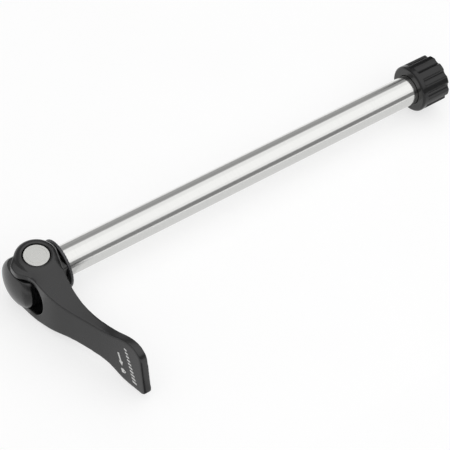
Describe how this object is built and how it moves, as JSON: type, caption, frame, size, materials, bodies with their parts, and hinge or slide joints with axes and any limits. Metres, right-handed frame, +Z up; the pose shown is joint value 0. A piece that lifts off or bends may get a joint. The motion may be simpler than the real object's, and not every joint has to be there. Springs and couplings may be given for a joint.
{
  "type": "bicycle thru axle",
  "caption": "Hollow threaded wheel axle with a forked cam lever and domed cam housing that clamp it to a bicycle frame, and a ribbed push-on cap over its thread.",
  "frame": {"origin": "on the axle's axis, in the plane of the contact washer's seat face, with the lever closed", "axes": "+X along the axle to its thread, +Z up along the cam shaft, and the closed lever points along -Y"},
  "size_m": [0.199, 0.0692, 0.024],
  "materials": {
    "axle": "turned satin",
    "black_metal": "satin black painted",
    "steel": "fine turned",
    "bush": "moulded",
    "cap": "moulded black"
  },
  "bodies": {
    "axle": {"axle": "axle"},
    "head": {"cam_housing": "black_metal", "contact_washer": "black_metal", "upper_bush": "bush", "lower_bush": "bush"},
    "lever": {"lever": "black_metal", "cam_shaft": "steel", "retaining_ring": "steel"},
    "cap": {"thread_cap": "cap"}
  },
  "joints": [
    {"name": "clamp_slide", "type": "slide", "parent": "axle", "child": "head", "axis": [-1, 0, 0], "range_m": [0, 0.00137]},
    {"name": "lever_flip", "type": "hinge", "parent": "head", "child": "lever", "pos_m": [-0.01, 0, 0], "axis": [0, 0, -1], "range_deg": [0, 135]},
    {"name": "cap_pull", "type": "slide", "parent": "axle", "child": "cap", "axis": [1, 0, 0], "range_m": [0, 0.18]}
  ],
  "couplings": [
    {"joint": "clamp_slide", "follows": "lever_flip", "m_per_rad": 0.00057962}
  ]
}
